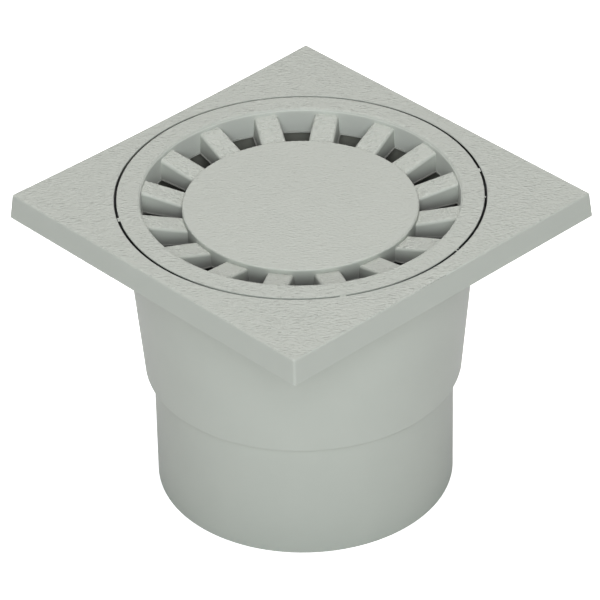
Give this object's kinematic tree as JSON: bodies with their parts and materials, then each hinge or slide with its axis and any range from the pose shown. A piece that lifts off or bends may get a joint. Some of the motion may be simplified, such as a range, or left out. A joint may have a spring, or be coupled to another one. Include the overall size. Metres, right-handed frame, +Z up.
{
  "type": "gully trap",
  "caption": "Square floor gully trap in light grey plastic: drop-in round grate with radial slots, bell water seal, tapered bowl and plain vertical spigot",
  "frame": {"origin": "middle of the spigot's lower end, which is also the middle of the base of the whole part", "axes": "+Z up along the axis of the spigot, the sides of the square frame along X and Y"},
  "size_m": [0.1484, 0.1483, 0.12],
  "materials": {
    "body_plastic": "light grey moulded plastic, fine leather grain on the top face, satin sides",
    "grate_plastic": "light grey moulded plastic with a fine leather grain on its top faces",
    "bell_plastic": "smooth light grey moulded plastic"
  },
  "bodies": {
    "root": {"trap_body": "body_plastic", "grate": "grate_plastic", "bell": "bell_plastic"}
  },
  "joints": []
}
